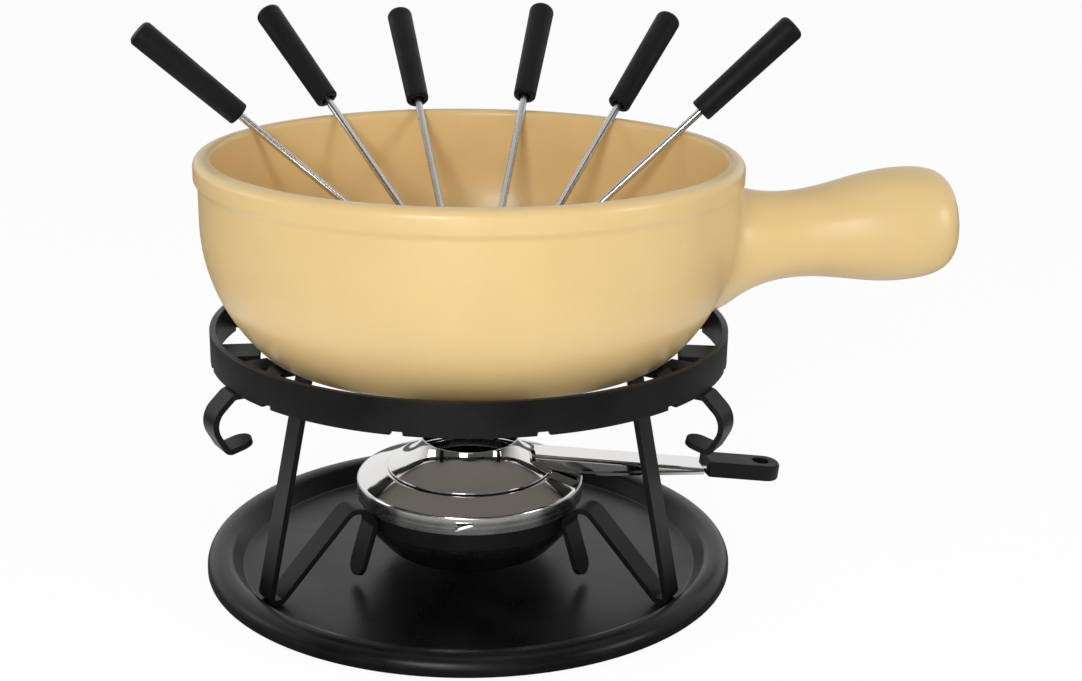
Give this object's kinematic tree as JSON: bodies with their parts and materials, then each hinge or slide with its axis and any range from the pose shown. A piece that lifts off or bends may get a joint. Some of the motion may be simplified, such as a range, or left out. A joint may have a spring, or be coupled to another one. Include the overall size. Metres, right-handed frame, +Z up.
{
  "type": "fondue pot set",
  "caption": "Glazed fondue pot with one handle on a black strip-steel stand and tray, over a chrome spirit burner with a swivelling regulator, with long forks leaning in the pot.",
  "frame": {"origin": "centre of the tray's underside, on the table", "axes": "+Z up, +X along the pot's handle, -Y towards the front, where the legs stand to the left and right"},
  "size_m": [0.3704, 0.2814, 0.2473],
  "materials": {
    "cream_glaze": "satin cream yellow glaze",
    "stand_black": "satin black powder coat",
    "tray_black": "semi-gloss black enamel",
    "burner_chrome": "bright chrome plate",
    "burner_black": "black enamel",
    "cup_steel": "plain steel",
    "gauze_steel": "perforated steel",
    "wick_fibre": "absorbent fibre",
    "grip_plastic": "fine-grained black plastic",
    "fork_steel": "polished steel",
    "fork_plastic": "fine-grained black plastic"
  },
  "bodies": {
    "tray": {"tray": "tray_black"},
    "stand": {"stand_ring": "stand_black", "leg_front_left": "stand_black", "leg_front_right": "stand_black", "leg_back": "stand_black"},
    "pot": {"pot": "cream_glaze"},
    "burner": {"burner_bowl": "burner_black", "burner_collar": "burner_black", "fuel_cup": "cup_steel", "wick_pad": "wick_fibre", "gauze": "gauze_steel"},
    "burner_cover": {"burner_cover": "burner_chrome"},
    "regulator": {"regulator_hood": "burner_chrome", "regulator_arm": "burner_chrome", "regulator_grip": "grip_plastic", "grip_rivet": "cup_steel"},
    "fork_1": {"fork_1_shank": "fork_steel", "fork_1_handle": "fork_plastic"},
    "fork_2": {"fork_2_shank": "fork_steel", "fork_2_handle": "fork_plastic"},
    "fork_3": {"fork_3_shank": "fork_steel", "fork_3_handle": "fork_plastic"},
    "fork_4": {"fork_4_shank": "fork_steel", "fork_4_handle": "fork_plastic"},
    "fork_5": {"fork_5_shank": "fork_steel", "fork_5_handle": "fork_plastic"},
    "fork_6": {"fork_6_shank": "fork_steel", "fork_6_handle": "fork_plastic"}
  },
  "joints": [
    {"name": "stand_lift", "type": "slide", "parent": "tray", "child": "stand", "axis": [0, 0, 1], "range_m": [0, 0.06]},
    {"name": "pot_lift", "type": "slide", "parent": "stand", "child": "pot", "axis": [0, 0, 1], "range_m": [0, 0.12]},
    {"name": "burner_lift", "type": "slide", "parent": "stand", "child": "burner", "axis": [0, 0, 1], "range_m": [0, 0.025]},
    {"name": "cover_lift", "type": "slide", "parent": "burner", "child": "burner_cover", "axis": [0, 0, 1], "range_m": [0, 0.01]},
    {"name": "regulator_swivel", "type": "hinge", "parent": "burner_cover", "child": "regulator", "pos_m": [0, 0, 0.05], "axis": [0, 0, 1], "range_deg": [-14, 60]},
    {"name": "fork_1_pull", "type": "slide", "parent": "pot", "child": "fork_1", "axis": [-0.7251, -0.1733, 0.6664], "range_m": [0, 0.14]},
    {"name": "fork_2_pull", "type": "slide", "parent": "pot", "child": "fork_2", "axis": [-0.5449, 0.5, 0.6731], "range_m": [0, 0.14]},
    {"name": "fork_3_pull", "type": "slide", "parent": "pot", "child": "fork_3", "axis": [-0.1847, 0.7321, 0.6557], "range_m": [0, 0.14]},
    {"name": "fork_4_pull", "type": "slide", "parent": "pot", "child": "fork_4", "axis": [0.1725, 0.7204, 0.6718], "range_m": [0, 0.14]},
    {"name": "fork_5_pull", "type": "slide", "parent": "pot", "child": "fork_5", "axis": [0.4731, 0.5737, 0.6686], "range_m": [0, 0.14]},
    {"name": "fork_6_pull", "type": "slide", "parent": "pot", "child": "fork_6", "axis": [0.7227, 0.0254, 0.6907], "range_m": [0, 0.14]}
  ]
}
